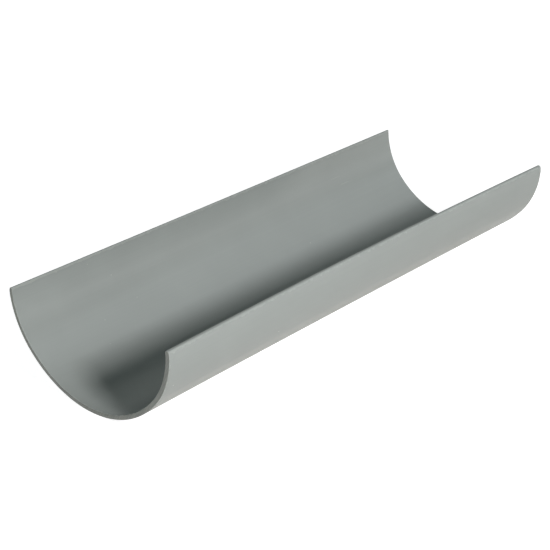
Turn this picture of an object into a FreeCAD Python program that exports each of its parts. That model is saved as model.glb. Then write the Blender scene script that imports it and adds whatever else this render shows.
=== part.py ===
"""Half-round rain gutter in extruded uPVC: one short cut length, lying open side up.

The real thing is a single extrusion, so the model is one PartDesign body. The section of
the channel is drawn once as a sketch, padded along the run, and then its edges are eased.

Frame: the origin is under the middle of the length, on the lowest line of the outside.
+Y runs along the gutter, +X across it, and +Z up through the open side. Millimetres.
"""
import FreeCAD, Part
import os
from math import cos, isclose, radians, sin

import Sketcher
from FreeCAD import Vector

doc = FreeCAD.newDocument("half_round_gutter")

# ------------------------------------------------------------------ driving sizes
# (alias, value, what it is): lengths in millimetres, angles in degrees.
SIZES = [
    ("run_length", 295.0, "cut length of the piece, from one sawn end to the other"),
    ("gutter_width", 112.0, "outside width across the rims"),
    ("wall_thickness", 2.2, "wall of the extrusion, the same all round the section"),
    ("side_radius", 46.0, "outside radius of each side wall, between the sole and its rim"),
    ("sole_half_angle", 48.0, "angle that the flatter sole spans on each side of the lowest line"),
    ("rim_rounding", 0.6, "radius on both long edges of each rim"),
    ("end_chamfer", 0.2, "chamfer left by scraping the burr off each sawn end"),
]
size = {alias: value for alias, value, meaning in SIZES}

sheet = doc.addObject("Spreadsheet::Sheet", "Sizes")
for row, (alias, value, meaning) in enumerate(SIZES, start=1):
    sheet.set(f"A{row}", meaning)
    sheet.set(f"B{row}", str(value))
    sheet.setAlias(f"B{row}", alias)
doc.recompute()

body = doc.addObject("PartDesign::Body", "GutterChannel")
body.Label = "gutter_channel"
xz_plane = next(f for f in body.Origin.OriginFeatures if f.Role == "XZ_Plane")

# ------------------------------------------------------------------ the section
# Three arcs make the outside: a flatter sole, and a tighter side arc on each side of it,
# tangent to the sole and upright where it reaches the rim. The inside is the same three
# arcs, on the same centres, one wall further in. A flat rim joins them on each side.
#
#      rim |                           | rim
#          |  left side    right side  |
#           \                         /
#             `-._               _.-'
#                  `--- sole ---'
#
# The sole's centre, a side's centre and the point where the two arcs meet lie on one line,
# which leans from the vertical by the sole's half angle. With half width a, side radius r
# and half angle h, the sole's radius is therefore (a - r (1 - sin h)) / sin h.
half_width = size["gutter_width"] / 2
side_radius = size["side_radius"]
wall = size["wall_thickness"]
half_angle = radians(size["sole_half_angle"])
sole_radius = (half_width - side_radius * (1 - sin(half_angle))) / sin(half_angle)
rim_height = sole_radius - (sole_radius - side_radius) * cos(half_angle)

section = body.newObject("Sketcher::SketchObject", "Section")
section.AttachmentSupport = [(xz_plane, "")]
section.MapMode = "FlatFace"


def add_arc(centre, radius, first_angle, last_angle):
    """Draws an arc anticlockwise from one angle to another, and returns its index."""
    circle = Part.Circle(centre, Vector(0, 0, 1), radius)
    return section.addGeometry(Part.ArcOfCircle(circle, first_angle, last_angle), False)


def add_line(first, last, construction=False):
    """Draws a straight line from one point to another, and returns its index."""
    return section.addGeometry(Part.LineSegment(first, last), construction)


# The sketch starts where the sizes put it, so the constraints only have to hold it there.
sole_centre = Vector(0, sole_radius, 0)
right_centre = Vector(half_width - side_radius, rim_height, 0)
left_centre = Vector(side_radius - half_width, rim_height, 0)
right_joint = radians(270) + half_angle
left_joint = radians(270) - half_angle

sole_outer = add_arc(sole_centre, sole_radius, left_joint, right_joint)
sole_inner = add_arc(sole_centre, sole_radius - wall, left_joint, right_joint)
right_outer = add_arc(right_centre, side_radius, right_joint, radians(360))
right_inner = add_arc(right_centre, side_radius - wall, right_joint, radians(360))
left_outer = add_arc(left_centre, side_radius, radians(180), left_joint)
left_inner = add_arc(left_centre, side_radius - wall, radians(180), left_joint)

rim_corner = Vector(half_width, rim_height, 0)
right_rim = add_line(rim_corner, rim_corner - Vector(wall, 0, 0))
rim_corner = Vector(-half_width, rim_height, 0)
left_rim = add_line(rim_corner, rim_corner + Vector(wall, 0, 0))

joint = sole_centre + Vector(sin(half_angle), -cos(half_angle), 0) * sole_radius
leaning_line = add_line(joint, sole_centre, construction=True)


def start(piece):
    """The first point of an arc or line, as a constraint names it."""
    return piece, 1


def end(piece):
    """The last point of an arc or line, as a constraint names it."""
    return piece, 2


def centre(piece):
    """The centre of an arc, as a constraint names it."""
    return piece, 3


def origin():
    """The sketch's origin, as a constraint names it."""
    return -1, 1


def vertical_axis():
    """The sketch's vertical axis, as a constraint names it."""
    return -2


def constrain(kind, *where):
    """Adds a geometric constraint."""
    section.addConstraint(Sketcher.Constraint(kind, *where))


def dimension(kind, *where, alias):
    """Adds a dimension with the name of a size, and ties it to that size in the sheet."""
    value, unit = (radians(size[alias]), "deg") if kind == "Angle" else (size[alias], "mm")
    index = section.addConstraint(Sketcher.Constraint(kind, *where, value))
    section.renameConstraint(index, alias)
    section.setExpression(f"Constraints.{alias}", f"Sizes.{alias} * 1 {unit}")


# Each side arc leaves the sole with no kink, outside and inside.
constrain("Tangent", *end(sole_outer), *start(right_outer))
constrain("Tangent", *end(sole_inner), *start(right_inner))
constrain("Tangent", *end(left_outer), *start(sole_outer))
constrain("Tangent", *end(left_inner), *start(sole_inner))

# The inside arcs share the outside arcs' centres.
constrain("Coincident", *centre(sole_inner), *centre(sole_outer))
constrain("Coincident", *centre(right_inner), *centre(right_outer))
constrain("Coincident", *centre(left_inner), *centre(left_outer))

# The rims close the section. Each is level with the centre of its side arc, so the wall
# is upright there.
constrain("Coincident", *start(right_rim), *end(right_outer))
constrain("Coincident", *end(right_rim), *end(right_inner))
constrain("Coincident", *start(left_rim), *start(left_outer))
constrain("Coincident", *end(left_rim), *start(left_inner))
constrain("Horizontal", right_rim)
constrain("Horizontal", left_rim)
constrain("Horizontal", *start(right_rim), *centre(right_outer))
constrain("Horizontal", *start(left_rim), *centre(left_outer))

# The section is the same on both sides of the vertical axis, and stands on the origin.
constrain("Symmetric", *start(right_rim), *start(left_rim), vertical_axis())
constrain("PointOnObject", *centre(sole_outer), vertical_axis())
constrain("PointOnObject", *origin(), sole_outer)

# The leaning line runs from where the sole meets the right side up to the sole's centre.
constrain("Coincident", *start(leaning_line), *end(sole_outer))
constrain("Coincident", *end(leaning_line), *centre(sole_outer))

dimension("DistanceX", *start(left_rim), *start(right_rim), alias="gutter_width")
dimension("DistanceX", *end(right_rim), *start(right_rim), alias="wall_thickness")
dimension("Radius", right_outer, alias="side_radius")
dimension("Angle", *start(vertical_axis()), *start(leaning_line), alias="sole_half_angle")

doc.recompute()
if section.solve() != 0 or not section.FullyConstrained:
    raise RuntimeError("the constraints don't settle the section")

# ------------------------------------------------------------------ the run
run = body.newObject("PartDesign::Pad", "Run")
run.Profile = section
run.SideType = "Symmetric"
run.setExpression("Length", "Sizes.run_length * 1 mm")
doc.recompute()


# ------------------------------------------------------------------ eased edges
def edges_where(feature, chosen):
    """Names of a feature's edges whose two end points make chosen(first, last) true."""
    return [
        f"Edge{number}"
        for number, edge in enumerate(feature.Shape.Edges, start=1)
        if chosen(edge.Vertexes[0].Point, edge.Vertexes[-1].Point)
    ]


def along_a_rim(first, last):
    """Whether an edge runs from one end of the gutter to the other at the rims' height."""
    level = all(isclose(point.z, rim_height, abs_tol=1e-4) for point in (first, last))
    return level and not isclose(first.y, last.y)


def at_a_sawn_end(first, last):
    """Whether an edge lies in the plane of one of the two sawn ends."""
    return isclose(first.y, last.y) and isclose(abs(first.y), size["run_length"] / 2)


# A die can't leave a sharp rim, so both long edges of each rim are round. The two radii
# share the rim's width, so each stays under half of the wall.
rims = body.newObject("PartDesign::Fillet", "RoundedRims")
rims.Base = (run, edges_where(run, along_a_rim))
rims.setExpression("Radius", "min(Sizes.rim_rounding; 0.45 * Sizes.wall_thickness) * 1 mm")
doc.recompute()

ends = body.newObject("PartDesign::Chamfer", "ScrapedEnds")
ends.Base = (rims, edges_where(rims, at_a_sawn_end))
ends.setExpression("Size", "min(Sizes.end_chamfer; 0.2 * Sizes.wall_thickness) * 1 mm")
doc.recompute()

# ------------------------------------------------------------------ checks and output
for feature in doc.Objects:
    if {"Invalid", "Error"} & set(feature.State):
        raise RuntimeError(f"{feature.Label} didn't build: {feature.State}")
if body.Shape.isNull() or not body.Shape.isValid() or len(body.Shape.Solids) != 1:
    raise RuntimeError("the gutter channel isn't one sound solid")

os.makedirs("parts", exist_ok=True)
body.Shape.exportStep(f"parts/{body.Label}.step")

box, volume = body.Shape.BoundBox, body.Shape.Volume
print(f"{body.Label}: {box.XLength:.2f} x {box.YLength:.2f} x {box.ZLength:.2f} mm, {volume / 1000:.2f} cm3")
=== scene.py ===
# %% [markdown]
# # A cut length of half-round gutter
#
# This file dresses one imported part: a short piece of grey plastic rain gutter, sawn off
# square at both ends and lying open side up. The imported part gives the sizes. Here the
# same channel is made again as one smooth surface, finished as extruded uPVC, and lit as
# for a catalogue. Lengths are in metres. +Y runs along the gutter, +X across it and +Z up,
# and the origin is on the ground, under the middle of the length.

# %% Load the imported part
from math import cos, pi, radians, sin

import bpy
import numpy as np
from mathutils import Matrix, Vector


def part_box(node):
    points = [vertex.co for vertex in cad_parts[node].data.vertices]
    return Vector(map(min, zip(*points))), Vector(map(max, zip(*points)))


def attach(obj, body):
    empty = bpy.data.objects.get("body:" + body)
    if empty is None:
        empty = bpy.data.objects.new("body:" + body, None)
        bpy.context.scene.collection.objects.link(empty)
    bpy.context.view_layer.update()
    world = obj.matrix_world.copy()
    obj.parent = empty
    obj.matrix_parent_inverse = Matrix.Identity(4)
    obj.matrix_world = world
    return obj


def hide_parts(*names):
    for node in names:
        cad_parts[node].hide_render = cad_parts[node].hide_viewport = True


MM = 0.001

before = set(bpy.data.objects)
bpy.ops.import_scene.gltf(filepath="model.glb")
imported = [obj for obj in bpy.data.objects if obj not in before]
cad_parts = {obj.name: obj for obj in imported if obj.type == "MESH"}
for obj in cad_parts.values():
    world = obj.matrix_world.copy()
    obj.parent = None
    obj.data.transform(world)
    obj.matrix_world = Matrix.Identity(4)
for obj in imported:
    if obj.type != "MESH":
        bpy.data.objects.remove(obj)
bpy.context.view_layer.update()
low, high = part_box("gutter_channel")
width, length, height = high - low
print(f"packed channel: {width / MM:.1f} x {length / MM:.1f} x {height / MM:.1f} mm")

# %% [markdown]
# ## The section, drawn flat
#
# The section of a gutter is a thin strip, bent round. It could be drawn bent, as offset arcs
# with little fillets between them, but it is easier to draw it flat, where it is only a long
# thin rectangle with eased corners. So each point gets two numbers: `along`, measured on the
# outside face from the lowest line of the gutter, and `deep`, measured from the outside face
# into the wall. A second function then bends the strip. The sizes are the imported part's,
# with a little of what a real cut length adds: the wall is a quarter of a millimetre thicker
# by one rim and as much thinner by the other, the rims stand 0.3 mm taller, and the scraped
# edge of the ends is a mere hair.

# %% Sizes of the section
WALL = 2.2 * MM
WALL_DRIFT = 0.25 * MM
SIDE_RADIUS = 46.0 * MM
SOLE_HALF_ANGLE = radians(48.0)
OUTER_EASE = (3.2 * MM, 1.0 * MM)
INNER_EASE = (0.5 * MM, 0.5 * MM)
RIM_SEAM = 1.4 * MM
RIM_EXTRA = 0.3 * MM
END_CHAMFER = 0.06 * MM

half_width = width / 2
sole_radius = (half_width - SIDE_RADIUS * (1 - sin(SOLE_HALF_ANGLE))) / sin(SOLE_HALF_ANGLE)
rim_height = sole_radius - (sole_radius - SIDE_RADIUS) * cos(SOLE_HALF_ANGLE)
sole_reach = sole_radius * SOLE_HALF_ANGLE
reach = sole_reach + SIDE_RADIUS * (pi / 2 - SOLE_HALF_ANGLE) + RIM_EXTRA
print(f"sole radius {sole_radius / MM:.2f} mm, rims {rim_height / MM:.2f} mm up")
print(f"the strip is {2 * reach / MM:.1f} mm wide when flat")


# %% [markdown]
# ## The rims
#
# A rim isn't square. Its inner edge is a small round, and its outer edge is eased far down
# the wall, so that a bracket's clip can ride over it: the wall thins over its last three
# millimetres. Each edge is therefore a quarter of an ellipse, which is long down the wall
# and short across the rim. The outside and the inside of the gutter are drawn by the same
# function, each with its own ellipse, and meet at a seam on top of the rim, which lies
# RIM_SEAM in from the outside face.


# %% One face of the strip
CORNER_STEPS = 10
FACE_STEPS = 192


def face_row(ease, seam, inset):
    """Points (along, depth) of one face of the strip, from one rim's seam to the other's.

    `depth` is measured from that face. The right half is the seam, a quarter ellipse and the
    face, all drawn in by `inset`, and the left half is its mirror image. A point of the
    ellipse is (reach - down + down sin t, across - across cos t), and t goes from 90 degrees
    on the rim to 0 on the face.
    """
    down, across = ease
    turn = np.linspace(pi / 2, 0, CORNER_STEPS + 1)
    corner = np.stack([reach - down + (down - inset) * np.sin(turn),
                       across - (across - inset) * np.cos(turn)], axis=1)
    face = np.linspace(reach - down, 0, FACE_STEPS // 2 + 1)[1:]
    face = np.stack([face, np.full_like(face, inset)], axis=1)
    right = np.concatenate([[(reach - inset, seam)], corner, face])
    left = right[-2::-1] * (-1, 1)
    return np.concatenate([right, left])[::-1]


row = face_row(OUTER_EASE, RIM_SEAM, 0)
print(f"{len(row)} points from the left rim to the right rim")

# %% [markdown]
# ## Bending the strip round its three arcs
#
# The outside of the gutter is a flatter sole and two tighter sides. All three arcs meet
# with no kink, so the direction of the wall changes steadily with `along`: by one over the
# sole's radius on the sole, and by one over the side's radius on a side. The inside is the
# same arcs one wall further in, which is why `deep` only shortens the radius.


# %% Bend the flat points
def bend(along, deep):
    """Carries flat points round the section and returns their x and z.

    The lean of the wall's face is |along| over the sole's radius up to the joint of the arcs,
    and from there the joint's angle plus the rest over the side's radius. The point is the
    centre of its arc, plus (the arc's radius less `deep`) times (sine, -cosine) of the lean.
    """
    far = np.abs(along)
    on_side = far > sole_reach
    lean = np.where(on_side, SOLE_HALF_ANGLE + (far - sole_reach) / SIDE_RADIUS, far / sole_radius)
    radius = np.where(on_side, SIDE_RADIUS, sole_radius) - deep
    centre_x = np.where(on_side, half_width - SIDE_RADIUS, 0)
    centre_z = np.where(on_side, rim_height, sole_radius)
    return np.sign(along) * (centre_x + radius * np.sin(lean)), centre_z - radius * np.cos(lean)


x, z = bend(row[:, 0], row[:, 1])
print(f"bent: {np.ptp(x) / MM:.2f} mm wide and {np.ptp(z) / MM:.2f} mm high")

# %% [markdown]
# ## The run, from one sawn end to the other
#
# The channel could be one Extrude of the section. It is worked out as a grid instead,
# because two things change along it: the burr is scraped off both ends, and the walls have
# moved a little. A cold extrusion holds stress, and where a saw lets go of it, the walls
# spring: here the right rim stands out by two millimetres at both ends and not at all in the
# middle, which makes that edge a long shallow bow, and the left wall has swung in by about
# half a millimetre and risen with it. The wall isn't quite even either. The core of the die
# sat a quarter of a millimetre to the left, so the right wall is thicker than the left one.

# %% Sections along the run
RIGHT_SPRING, RIGHT_POWER = (2.1 * MM, 0.0), 0.7
LEFT_SPRING, LEFT_POWER = (0.6 * MM, 0.5 * MM), 2.0
RUN_STEPS = 60


def flat_loop(inset):
    """The strip's whole outline when flat: the outside row, then the inside row back again.

    The inside row is measured from the inside, so its depth is taken off the wall. The wall is
    WALL plus WALL_DRIFT times along / reach: thicker towards the right rim than the left.
    """
    outside = face_row(OUTER_EASE, RIM_SEAM, inset)
    along, depth = face_row(INNER_EASE, WALL - RIM_SEAM, inset)[-2:0:-1].T
    inside = np.stack([along, WALL + WALL_DRIFT * along / reach - depth], axis=1)
    return np.concatenate([outside, inside])


def channel_points():
    """All points, as an array (section, place round the section, xyz).

    The two end sections are drawn in by the chamfer, and the ones next to them are full. Each
    side's (x, z) spring is added, times the square of how far along the section is (0 in the
    middle, 1 at an end), times a power of the point's height over the rim's.
    """
    half = length / 2
    full = np.linspace(-half + END_CHAMFER, half - END_CHAMFER, RUN_STEPS + 1)
    stations = np.concatenate([[-half], full, [half]])[:, None]
    drawn_in = (np.abs(stations) > half - END_CHAMFER / 2)[:, :, None]
    flat = np.where(drawn_in, flat_loop(END_CHAMFER), flat_loop(0))
    x, z = bend(flat[..., 0], flat[..., 1])
    right = x > 0
    share = np.clip(z / rim_height, 0, 1) ** np.where(right, RIGHT_POWER, LEFT_POWER)
    sprung = (stations / half) ** 2 * share
    x = x + sprung * np.where(right, RIGHT_SPRING[0], LEFT_SPRING[0])
    z = z + sprung * np.where(right, RIGHT_SPRING[1], LEFT_SPRING[1])
    return np.stack([x, np.broadcast_to(stations, x.shape), z], axis=-1)


points = channel_points()
print(f"{points.shape[0]} sections of {points.shape[1]} points")

# %% [markdown]
# ## Skin and sawn ends
#
# Two kinds of face close the channel. The skin joins each section to the next with a loop
# of quads. A sawn end is a ladder of quads across the wall, from the outside row to the
# inside row, with the narrow scraped edge round it. The ends keep a material of their own,
# because a saw leaves plastic duller than a polished die does.


# %% Faces
def channel_faces(sections, around):
    """Corner indices of the skin's faces and of the two ends' faces, all facing outwards.

    Point p of section s has the index s * around + p. A face between two sections is p and
    its next neighbour in one, then the same two in the next, taken backwards. A face across
    an end is p and p + 1 on the outside row, with their partners around - p on the inside.
    The first and the last loop of faces are the scraped edges, and belong to the ends.
    """
    s, p = np.meshgrid(np.arange(sections - 1), np.arange(around), indexing="ij")
    here, there = s * around, (s + 1) * around
    q = (p + 1) % around
    loops = np.stack([there + p, there + q, here + q, here + p], axis=-1)
    p = np.arange(around // 2)
    ladder = np.stack([p, p + 1, around - p - 1, (around - p) % around], axis=1)
    near = [list(dict.fromkeys(face)) for face in ladder.tolist()]
    last = (sections - 1) * around
    far = [[last + corner for corner in face[::-1]] for face in near]
    skin = loops[1:-1].reshape(-1, 4).tolist()
    scraped = loops[[0, -1]].reshape(-1, 4).tolist()
    return skin, scraped + near + far


skin, ends = channel_faces(*points.shape[:2])
print(f"{len(skin)} faces on the skin, {len(ends)} on the sawn ends")

# %% [markdown]
# ## The mesh
#
# The arrays become one closed mesh. The first material slot is the skin's and the second is
# the sawn ends'. Shading is smooth, apart from edges that turn by more than 30 degrees, which
# on this piece are only those round the ends. The piece rides on the one body there is, and
# stands in for the imported channel.

# %% The mesh
SHARP_ANGLE = radians(30)

mesh = bpy.data.meshes.new("gutter_channel_smooth")
mesh.from_pydata(points.reshape(-1, 3).tolist(), [], skin + ends)
slots = np.repeat([0, 1], [len(skin), len(ends)]).astype(np.int32)
mesh.polygons.foreach_set("material_index", slots)
mesh.shade_smooth()
mesh.set_sharp_from_angle(angle=SHARP_ANGLE)
mesh.update()
channel = bpy.data.objects.new("gutter_channel_smooth", mesh)
bpy.context.scene.collection.objects.link(channel)
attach(channel, "root")
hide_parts("gutter_channel")
print(f"{len(mesh.polygons)} faces, valid: {not mesh.validate(verbose=True)}")

# %% [markdown]
# ## Helpers for materials
#
# Colours are written as the hex codes that a paint chart gives, and Blender mixes light in
# linear values, so the first helper converts them. The second adds a node, sets it up and
# wires it in one line, so that a material reads from top to bottom like a recipe. The third
# starts an empty material.


# %% Helpers
def linear(code):
    """A hex colour as linear red, green, blue and alpha: ((c + 0.055) / 1.055) to the 2.4."""
    parts = (int(code[i:i + 2], 16) / 255 for i in (1, 3, 5))
    return (*(c / 12.92 if c <= 0.04045 else ((c + 0.055) / 1.055) ** 2.4 for c in parts), 1)


def node(tree, kind, settings=None, **inputs):
    """Adds a node. `settings` are its properties, and each input is a value, socket or node.

    An input's name is the socket's, with _ for a space, or in_ and the socket's number. A
    node stands for the first of its outputs that is in use.
    """
    made = tree.nodes.new("ShaderNode" + kind)
    for name, value in (settings or {}).items():
        setattr(made, name, value)
    for name, value in inputs.items():
        key = int(name[3:]) if name.startswith("in_") else name.replace("_", " ")
        if isinstance(value, bpy.types.Node):
            value = next(output for output in value.outputs if output.enabled)
        if isinstance(value, bpy.types.NodeSocket):
            tree.links.new(value, made.inputs[key])
        else:
            made.inputs[key].default_value = value
    return made


def new_material(name):
    """An empty material, and its node tree."""
    material = bpy.data.materials.new(name)
    material.use_nodes = True
    material.node_tree.nodes.clear()
    return material, material.node_tree


print("mid grey #808080 is", round(linear("#808080")[0], 3), "in linear light")

# %% [markdown]
# ## The marks of extrusion
#
# Rain gutter is pushed hot through a steel die and drawn away along its length, and that
# leaves faint things on it: lines as fine as a hair that run the whole length, where the die
# was not quite smooth, broader bands beside them, long shallow waves, where the pull was not
# quite even, and a colour that drifts a little, because the pigment never mixes perfectly. A
# picture could be wrapped round the channel for these. Noise is better here, because it has
# no seam and goes on into the wall. Noise is one value for every place in space, so a streak
# is noise read in a space that is squeezed along Y: it then changes hardly at all that way.
# The finest grain of the plastic is under a tenth of a millimetre. It would be lost between
# the dots of a picture, so it is drawn a quarter of a millimetre wide.

# %% Patterns of the skin
DIE_SQUEEZE = (1, 0.004, 1)
PULL_SQUEEZE = (1, 0.25, 1)
PIGMENT_PATCH, BAND, WAVE = 28 * MM, 6 * MM, 9 * MM
DIE_LINE, GRAIN = 0.7 * MM, 0.25 * MM

skin_material, tree = new_material("satin_grey_upvc")
place = node(tree, "TexCoord").outputs["Object"]
drawn = node(tree, "Mapping", Vector=place, Scale=DIE_SQUEEZE)
pulled = node(tree, "Mapping", Vector=place, Scale=PULL_SQUEEZE)
pigment = node(tree, "TexNoise", Vector=place, Scale=1 / PIGMENT_PATCH, Detail=2.0)
die_lines = node(tree, "TexNoise", Vector=drawn, Scale=1 / DIE_LINE, Detail=1.0)
bands = node(tree, "TexNoise", Vector=drawn, Scale=1 / BAND, Detail=2.0)
waves = node(tree, "TexNoise", Vector=pulled, Scale=1 / WAVE, Detail=1.0)
grain = node(tree, "TexNoise", Vector=place, Scale=1 / GRAIN, Detail=2.0)
print(f"a die line {DIE_LINE / MM:.1f} mm across is {DIE_LINE / MM / DIE_SQUEEZE[1]:.0f} mm long")

# %% [markdown]
# ## Scratches and dust
#
# A length of gutter slides over others in the rack and on the van, so its scratches are few,
# fine and mostly lengthwise. One way to get them is Voronoi cells: the node gives how far a
# place is from the nearest of many scattered points, so "nearer than a fraction of a
# millimetre" is a dot round each point, which does for dust. A Mapping node of the Texture
# type stretches a pattern and then turns it, and that makes a dot a long thin scratch that
# leans a little across the die lines. The points are scattered in space, so only the few
# that happen to lie on the wall show, which is what keeps them sparse.


# %% Scratches and dust
ADD, MULTIPLY = {"operation": "ADD"}, {"operation": "MULTIPLY"}
LARGER, CLAMPED_LARGER = {"operation": "MAXIMUM"}, {"operation": "MAXIMUM", "use_clamp": True}


def dots(tree, place, spacing, radius):
    """1 within `radius` metres of points scattered `spacing` apart, and 0 beyond twice that."""
    cells = node(tree, "TexVoronoi", Vector=place, Scale=1 / spacing)
    near = radius / spacing
    return node(tree, "MapRange", Value=cells, From_Min=near, From_Max=2 * near,
                To_Min=1.0, To_Max=0.0)


SCRATCH_SETS = (  # lean in degrees, stretch, spacing and radius in millimetres
    (2, 90, 7, 0.06),
    (-7, 60, 11, 0.08),
    (70, 25, 19, 0.09),
)
DUST_SPACING, DUST_RADIUS = 15 * MM, 0.17 * MM

scratches = 0.0
for lean, stretch, spacing, radius in SCRATCH_SETS:
    leant = node(tree, "Mapping", {"vector_type": "TEXTURE"}, Vector=place,
                 Rotation=(0, 0, radians(lean)), Scale=(1, stretch, 1))
    scratches = node(tree, "Math", ADD, in_0=dots(tree, leant, spacing * MM, radius * MM),
                     in_1=scratches)
dust = dots(tree, place, DUST_SPACING, DUST_RADIUS)
longest = max(2 * stretch * radius for lean, stretch, spacing, radius in SCRATCH_SETS)
print(f"scratches up to {longest:.0f} mm long, dust {DUST_SPACING / MM:.0f} mm apart")

# %% [markdown]
# ## Where the skin is rubbed
#
# Wear follows the shape: it is strongest on the rims and at the two sawn ends, because they
# touch everything first. So the mask is worked out from height and from distance along the
# run, and noise frays its border so that it doesn't look like a ruled line. The scratches
# count as rubbed too.

# %% Rubbed edges
NOISE_LOW, NOISE_HIGH = 0.3, 0.7
FRAY, FRAY_SIZE = 0.6 * MM, 3 * MM
RIM_WEAR, END_WEAR = 1.0 * MM, 0.7 * MM
EDGE_SHARE = 0.5

axes = node(tree, "SeparateXYZ", Vector=place)
fray = node(tree, "TexNoise", Vector=place, Scale=1 / FRAY_SIZE, Detail=4.0)
fray = node(tree, "MapRange", Value=fray, From_Min=NOISE_LOW, From_Max=NOISE_HIGH,
            To_Min=-FRAY, To_Max=FRAY)
upwards = node(tree, "Math", ADD, in_0=axes.outputs["Z"], in_1=fray)
outwards = node(tree, "Math", {"operation": "ABSOLUTE"}, in_0=axes.outputs["Y"])
outwards = node(tree, "Math", ADD, in_0=outwards, in_1=fray)
near_rim = node(tree, "MapRange", Value=upwards, From_Min=rim_height - RIM_WEAR,
                From_Max=rim_height)
near_end = node(tree, "MapRange", Value=outwards, From_Min=length / 2 - END_WEAR,
                From_Max=length / 2)
edges = node(tree, "Math", LARGER, in_0=near_rim, in_1=near_end)
edges = node(tree, "Math", MULTIPLY, in_0=edges, in_1=EDGE_SHARE)
rubbed = node(tree, "Math", CLAMPED_LARGER, in_0=scratches, in_1=edges)
print(f"rubbed: top {RIM_WEAR / MM:.1f} mm of the rims, last {END_WEAR / MM:.1f} mm of the run")

# %% [markdown]
# ## Extruded uPVC
#
# Gutter uPVC (unplasticised PVC) is a mid grey with a satin shine: about 0.24 of roughness,
# clear enough to show the edge of a window as a soft band, and dull enough to show no
# picture in it. It refracts by 1.53 and has no metal in it, so the gloss is white and grows
# towards grazing angles. What is the same all over stands on the shader itself, and the
# patterns only move the colour by a few per cent, the roughness by a few hundredths and the
# surface by microns, and roughen it more where it is rubbed or dusty. Each of the three is a
# middle value plus the patterns, each times its share. Noise is a half on average, so half of
# the noises' shares comes off the middle again. Marks such as scratches are nought nearly
# everywhere, and nothing comes off for them.


# %% Satin skin
UPVC_IOR = 1.53
SATIN = 0.24
MICRON = 1e-6
GREY, RUBBED_GREY, DUST_GREY = linear("#9b9f9c"), linear("#aeb1ab"), linear("#c9cac4")
RUBBED_SHARE, DUST_SHARE = 0.35, 0.4
value_noise = ((pigment, 0.10), (bands, 0.025), (die_lines, 0.035))
roughness_noise = ((waves, 0.075), (die_lines, 0.06))
roughness_marks = ((rubbed, 0.16), (dust, 0.3))
relief_layers = (
    (waves, 14 * MICRON),
    (bands, 5 * MICRON),
    (die_lines, 1.2 * MICRON),
    (grain, 1.0 * MICRON),
    (scratches, -4 * MICRON),
    (dust, 12 * MICRON),
)
COLOUR = {"data_type": "RGBA"}


def layered(tree, middle, *patterns):
    """`middle` plus each pattern times its share, with one multiply-add node for each."""
    result = middle
    for pattern, share in patterns:
        result = node(tree, "Math", {"operation": "MULTIPLY_ADD"}, in_0=pattern, in_1=share,
                      in_2=result)
    return result


def centred(middle, noises):
    """`middle` less half of the noises' shares, so that the noises average out on it."""
    return middle - sum(share for noise, share in noises) / 2


value = layered(tree, centred(1, value_noise), *value_noise)
colour = node(tree, "HueSaturation", Value=value, Color=GREY)
for mask, share, tint in ((rubbed, RUBBED_SHARE, RUBBED_GREY), (dust, DUST_SHARE, DUST_GREY)):
    amount = node(tree, "Math", MULTIPLY, in_0=mask, in_1=share)
    colour = node(tree, "Mix", COLOUR, Factor=amount, in_6=colour, in_7=tint)
roughness = layered(tree, centred(SATIN, roughness_noise), *roughness_noise, *roughness_marks)
relief = layered(tree, 0.0, *relief_layers)
bump = node(tree, "Bump", Height=relief, Strength=1.0, Distance=1.0)
surface = node(tree, "BsdfPrincipled", Base_Color=colour, Roughness=roughness, IOR=UPVC_IOR,
               Normal=bump)
node(tree, "OutputMaterial", Surface=surface)
mesh.materials.append(skin_material)
print(f"{skin_material.name}: {len(tree.nodes)} nodes, grey {[round(c, 3) for c in GREY[:3]]}")

# %% [markdown]
# ## Sawn uPVC
#
# A fine saw leaves fresh, dull plastic at the ends, with its strokes as parallel furrows
# about a millimetre apart. They lean, because the saw was pushed through at a slant. Where a
# tooth tore rather than cut, the plastic is whitened. A Wave texture gives evenly spaced
# furrows, its distortion keeps them from being ruled lines, and noise stretched along the
# strokes gives the torn streaks. Blender's waves repeat every 2 pi / 20 of their own space,
# so that number over the spacing is the scale to ask for. A real saw's finest marks are a
# third as wide, and these are drawn coarser so that they show.

# %% Sawn end
WAVE_LENGTH = 2 * pi / 20
SAW_SLANT = radians(33)
STROKE_STRETCH = 16
FURROW, TORN_WIDTH, CRUMB = 1.1 * MM, 0.6 * MM, 0.3 * MM
TORN_LOW, TORN_HIGH, TORN_SHARE = 0.52, 0.7, 0.5
SAWN = 0.64
FRESH_VALUE = 0.98
FRESH_GREY, TORN_GREY = linear("#9d9f9a"), linear("#c2c1b9")

sawn_material, tree = new_material("sawn_grey_upvc")
place = node(tree, "TexCoord").outputs["Object"]
stroke = node(tree, "Mapping", {"vector_type": "TEXTURE"}, Vector=place,
              Rotation=(0, SAW_SLANT, 0))
long_stroke = node(tree, "Mapping", {"vector_type": "TEXTURE"}, Vector=place,
                   Rotation=(0, SAW_SLANT, 0), Scale=(1, 1, STROKE_STRETCH))
furrows = node(tree, "TexWave", {"bands_direction": "X"}, Vector=stroke,
               Scale=WAVE_LENGTH / FURROW, Distortion=3.0, Detail=3.0,
               Detail_Scale=1.5).outputs["Fac"]
torn = node(tree, "TexNoise", Vector=long_stroke, Scale=1 / TORN_WIDTH, Detail=3.0)
torn = node(tree, "MapRange", Value=torn, From_Min=TORN_LOW, From_Max=TORN_HIGH)
crumbs = node(tree, "TexNoise", Vector=place, Scale=1 / CRUMB, Detail=4.0)
value_noise = ((furrows, 0.16), (crumbs, 0.15))
roughness_noise = ((furrows, 0.08), (crumbs, 0.25))
relief_layers = ((furrows, 25 * MICRON), (crumbs, 18 * MICRON), (torn, 12 * MICRON))

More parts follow.
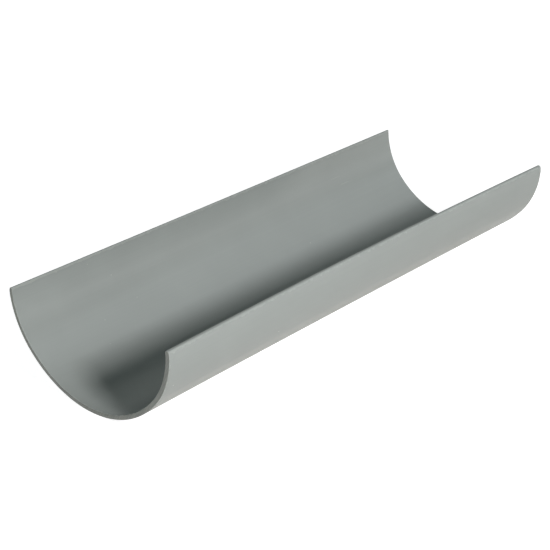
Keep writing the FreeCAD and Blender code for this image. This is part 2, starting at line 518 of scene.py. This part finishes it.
value = layered(tree, centred(FRESH_VALUE, value_noise), *value_noise)
colour = node(tree, "HueSaturation", Value=value, Color=FRESH_GREY)
amount = node(tree, "Math", MULTIPLY, in_0=torn, in_1=TORN_SHARE)
colour = node(tree, "Mix", COLOUR, Factor=amount, in_6=colour, in_7=TORN_GREY)
roughness = layered(tree, centred(SAWN, roughness_noise), *roughness_noise)
relief = layered(tree, 0.0, *relief_layers)
bump = node(tree, "Bump", Height=relief, Strength=1.0, Distance=1.0)
surface = node(tree, "BsdfPrincipled", Base_Color=colour, Roughness=roughness, IOR=UPVC_IOR,
               Normal=bump)
node(tree, "OutputMaterial", Surface=surface)
mesh.materials.append(sawn_material)
print(f"{sawn_material.name}: {len(tree.nodes)} nodes, furrows {FURROW / MM:.1f} mm apart")

# %% [markdown]
# ## The floor
#
# The gutter lies on white paper. Paper that only takes light would look pale grey round the
# gutter's shadow and would need strong lamps to look white, and strong lamps would bleach the
# plastic. So the paper is ordinary matt paper for the light that bounces off it, and gives
# off light of its own only where it is looked at. The camera gets nearly the whole of its
# white from that, a little more from 0.3 m out to 1 m, and the shadow stays as a faint
# darkening of the matt part. Reflections get about a third as much, slightly warm, because
# the shiny wall would otherwise show a glare along its foot.

# %% Floor
FLOOR_SIZE = 8.0
PAPER, SEEN_PAPER = linear("#e7e7e7"), linear("#bcbcbc")
NEAR, FAR = 0.3, 1.0
SEEN_LIGHT_NEAR, SEEN_LIGHT_FAR = 0.87, 1.0
MIRRORED_LIGHT = linear("#959086")
WHITE = linear("#ffffff")

floor_mesh = bpy.data.meshes.new("floor")
corners = np.array([(-1, -1, 0), (1, -1, 0), (1, 1, 0), (-1, 1, 0)]) * FLOOR_SIZE / 2
floor_mesh.from_pydata(corners.tolist(), [], [(0, 1, 2, 3)])
floor = bpy.data.objects.new("floor", floor_mesh)
bpy.context.scene.collection.objects.link(floor)


def lit_paper(tree, paper, own_colour, own_light):
    """Matt paper that also gives off light: the two shaders added."""
    matt = node(tree, "BsdfDiffuse", Color=paper)
    glow = node(tree, "Emission", Color=own_colour, Strength=own_light)
    return node(tree, "AddShader", in_0=matt, in_1=glow)


paper_material, tree = new_material("white_paper")
rays = node(tree, "LightPath").outputs
mirrored = node(tree, "Math", LARGER, in_0=rays["Is Glossy Ray"],
                in_1=rays["Is Transmission Ray"])
matt_paper = node(tree, "BsdfDiffuse", Color=PAPER)
mirrored_paper = lit_paper(tree, PAPER, MIRRORED_LIGHT, 1.0)
indirect = node(tree, "MixShader", in_0=mirrored, in_1=matt_paper, in_2=mirrored_paper)
place = node(tree, "TexCoord").outputs["Object"]
distance = node(tree, "VectorMath", {"operation": "LENGTH"}, in_0=place).outputs["Value"]
seen_light = node(tree, "MapRange", Value=distance, From_Min=NEAR, From_Max=FAR,
                  To_Min=SEEN_LIGHT_NEAR, To_Max=SEEN_LIGHT_FAR)
seen_paper = lit_paper(tree, SEEN_PAPER, WHITE, seen_light)
paper = node(tree, "MixShader", in_0=rays["Is Camera Ray"], in_1=indirect, in_2=seen_paper)
node(tree, "OutputMaterial", Surface=paper)
floor_mesh.materials.append(paper_material)
print(f"{paper_material.name}: {FLOOR_SIZE:.0f} by {FLOOR_SIZE:.0f} m, {len(tree.nodes)} nodes")

# %% [markdown]
# ## The room
#
# The world stands for the studio round the table. Its light is dim and even, so that the
# inside of the channel keeps its deep shade. A white room would fill that shade in. But a
# camera also looks at the world, and so does a shiny surface, so for those rays two parts
# of it are lighter: a white strip low down all round, where the table ends, and a sheet of
# paper that hangs behind the gutter, across from the camera. The sheet is dim, only a third
# of the way from the room to white. The tops of the rims mirror it, which is why they look
# pale. The limits of both are sines of their height in degrees, because the direction's Z
# is such a sine, and the sheet's sides are cosines of the angle from SHEET_AZIMUTH.

# %% World
AMBIENT = linear("#4f5655")
STRIP_TOP, STRIP_FADED = sin(radians(8)), sin(radians(16))
SHEET_FOOT, SHEET_START = sin(radians(19)), sin(radians(23))
SHEET_TOP, SHEET_FADED = sin(radians(34)), sin(radians(42))
SHEET_AZIMUTH = radians(132)
SHEET_EDGE, SHEET_FULL = cos(radians(50)), cos(radians(35))
SHEET_SHARE = 0.35

world = bpy.data.worlds.new("studio")
bpy.context.scene.world = world
world.use_nodes = True
tree = world.node_tree
tree.nodes.clear()
away = node(tree, "TexCoord").outputs["Generated"]
up = node(tree, "SeparateXYZ", Vector=away).outputs["Z"]
towards_sheet = node(tree, "VectorMath", {"operation": "DOT_PRODUCT"}, in_0=away,
                     in_1=(cos(SHEET_AZIMUTH), sin(SHEET_AZIMUTH), 0)).outputs["Value"]
strip = node(tree, "MapRange", Value=up, From_Min=STRIP_TOP, From_Max=STRIP_FADED,
             To_Min=1.0, To_Max=0.0)
sheet = node(tree, "MapRange", Value=towards_sheet, From_Min=SHEET_EDGE,
             From_Max=SHEET_FULL, To_Max=SHEET_SHARE)
foot = node(tree, "MapRange", Value=up, From_Min=SHEET_FOOT, From_Max=SHEET_START)
top = node(tree, "MapRange", Value=up, From_Min=SHEET_TOP, From_Max=SHEET_FADED,
           To_Min=1.0, To_Max=0.0)
for limit in (foot, top):
    sheet = node(tree, "Math", MULTIPLY, in_0=sheet, in_1=limit)
paleness = node(tree, "Math", LARGER, in_0=strip, in_1=sheet)
room = node(tree, "Mix", COLOUR, Factor=paleness, in_6=AMBIENT, in_7=WHITE)
backdrop = node(tree, "Background", Color=room, Strength=1.0)
light = node(tree, "Background", Color=AMBIENT, Strength=1.0)
rays = node(tree, "LightPath").outputs
looking = rays["Is Camera Ray"]
for ray in ("Is Glossy Ray", "Is Transmission Ray"):
    looking = node(tree, "Math", LARGER, in_0=looking, in_1=rays[ray])
studio = node(tree, "MixShader", in_0=looking, in_1=light, in_2=backdrop)
node(tree, "OutputWorld", Surface=studio)
print(f"{world.name}: {len(tree.nodes)} nodes, sheet share {SHEET_SHARE}")

# %% [markdown]
# ## The lamps
#
# Three soft boxes light the gutter. The key stands to its right, low enough to light the
# outside of the right wall full on, and the right wall then keeps its light off the sole. A
# larger and weaker panel stands higher up beyond the far end and brightens the inside. It is
# a little cool, as light from a window is. The third lies so low on the left that the left
# wall keeps its light out of the channel: it is there for the outside of that wall.


# %% Lamps
MIDDLE = Vector((0, 0, 0.03))


def soft_box(name, azimuth, elevation, distance, size, watts, colour="#ffffff"):
    """A square area lamp that faces the gutter from that direction.

    Azimuth is in degrees from +X towards +Y. The place is MIDDLE plus the distance times the
    direction, which is (cos el cos az, cos el sin az, sin el).
    """
    az, el = radians(azimuth), radians(elevation)
    data = bpy.data.lights.new(name, "AREA")
    data.size = size
    data.energy = watts
    data.color = linear(colour)[:3]
    lamp = bpy.data.objects.new(name, data)
    direction = Vector((cos(el) * cos(az), cos(el) * sin(az), sin(el)))
    lamp.location = MIDDLE + direction * distance
    lamp.rotation_euler = direction.to_track_quat("Z", "Y").to_euler()
    bpy.context.scene.collection.objects.link(lamp)


soft_box("key", azimuth=-18, elevation=27, distance=1.2, size=0.2, watts=11.5)
soft_box("sky_panel", azimuth=65, elevation=38, distance=1.3, size=1.0, watts=2.1,
         colour="#f1faff")
soft_box("left_fill", azimuth=180, elevation=10, distance=1.3, size=0.5, watts=10.0)
print("lamps:", [data.name for data in bpy.data.lights])

# %% [markdown]
# ## The camera
#
# The camera looks down along the gutter from the near right, from a little under 0.8 m away,
# with a rather long lens, and the far end still looks clearly smaller than the near one.
# Its turn is given as Blender's three angles: a camera with none looks straight down, the
# first lifts its view towards the horizon, the last swings it round, and the small middle
# one tips the picture.

# %% Camera
LENS = 93.965
SENSOR = 36
CAMERA_PLACE = (0.48198, -0.52052, 0.33538)
CAMERA_TURN = (66.012, 2.657, 42.576)
NEAREST_SEEN = 10 * MM

camera_data = bpy.data.cameras.new("camera")
camera_data.lens = LENS
camera_data.sensor_width = SENSOR
camera_data.clip_start = NEAREST_SEEN
camera = bpy.data.objects.new("camera", camera_data)
camera.location = CAMERA_PLACE
camera.rotation_euler = [radians(angle) for angle in CAMERA_TURN]
bpy.context.scene.collection.objects.link(camera)
bpy.context.scene.camera = camera
print(f"camera {camera.location.length:.2f} m from the origin, {LENS:.0f} mm lens")

# %% [markdown]
# ## Colours
#
# The Standard view shows a colour as it is written, with no film curve over it.

# %% View
bpy.context.scene.view_settings.view_transform = "Standard"
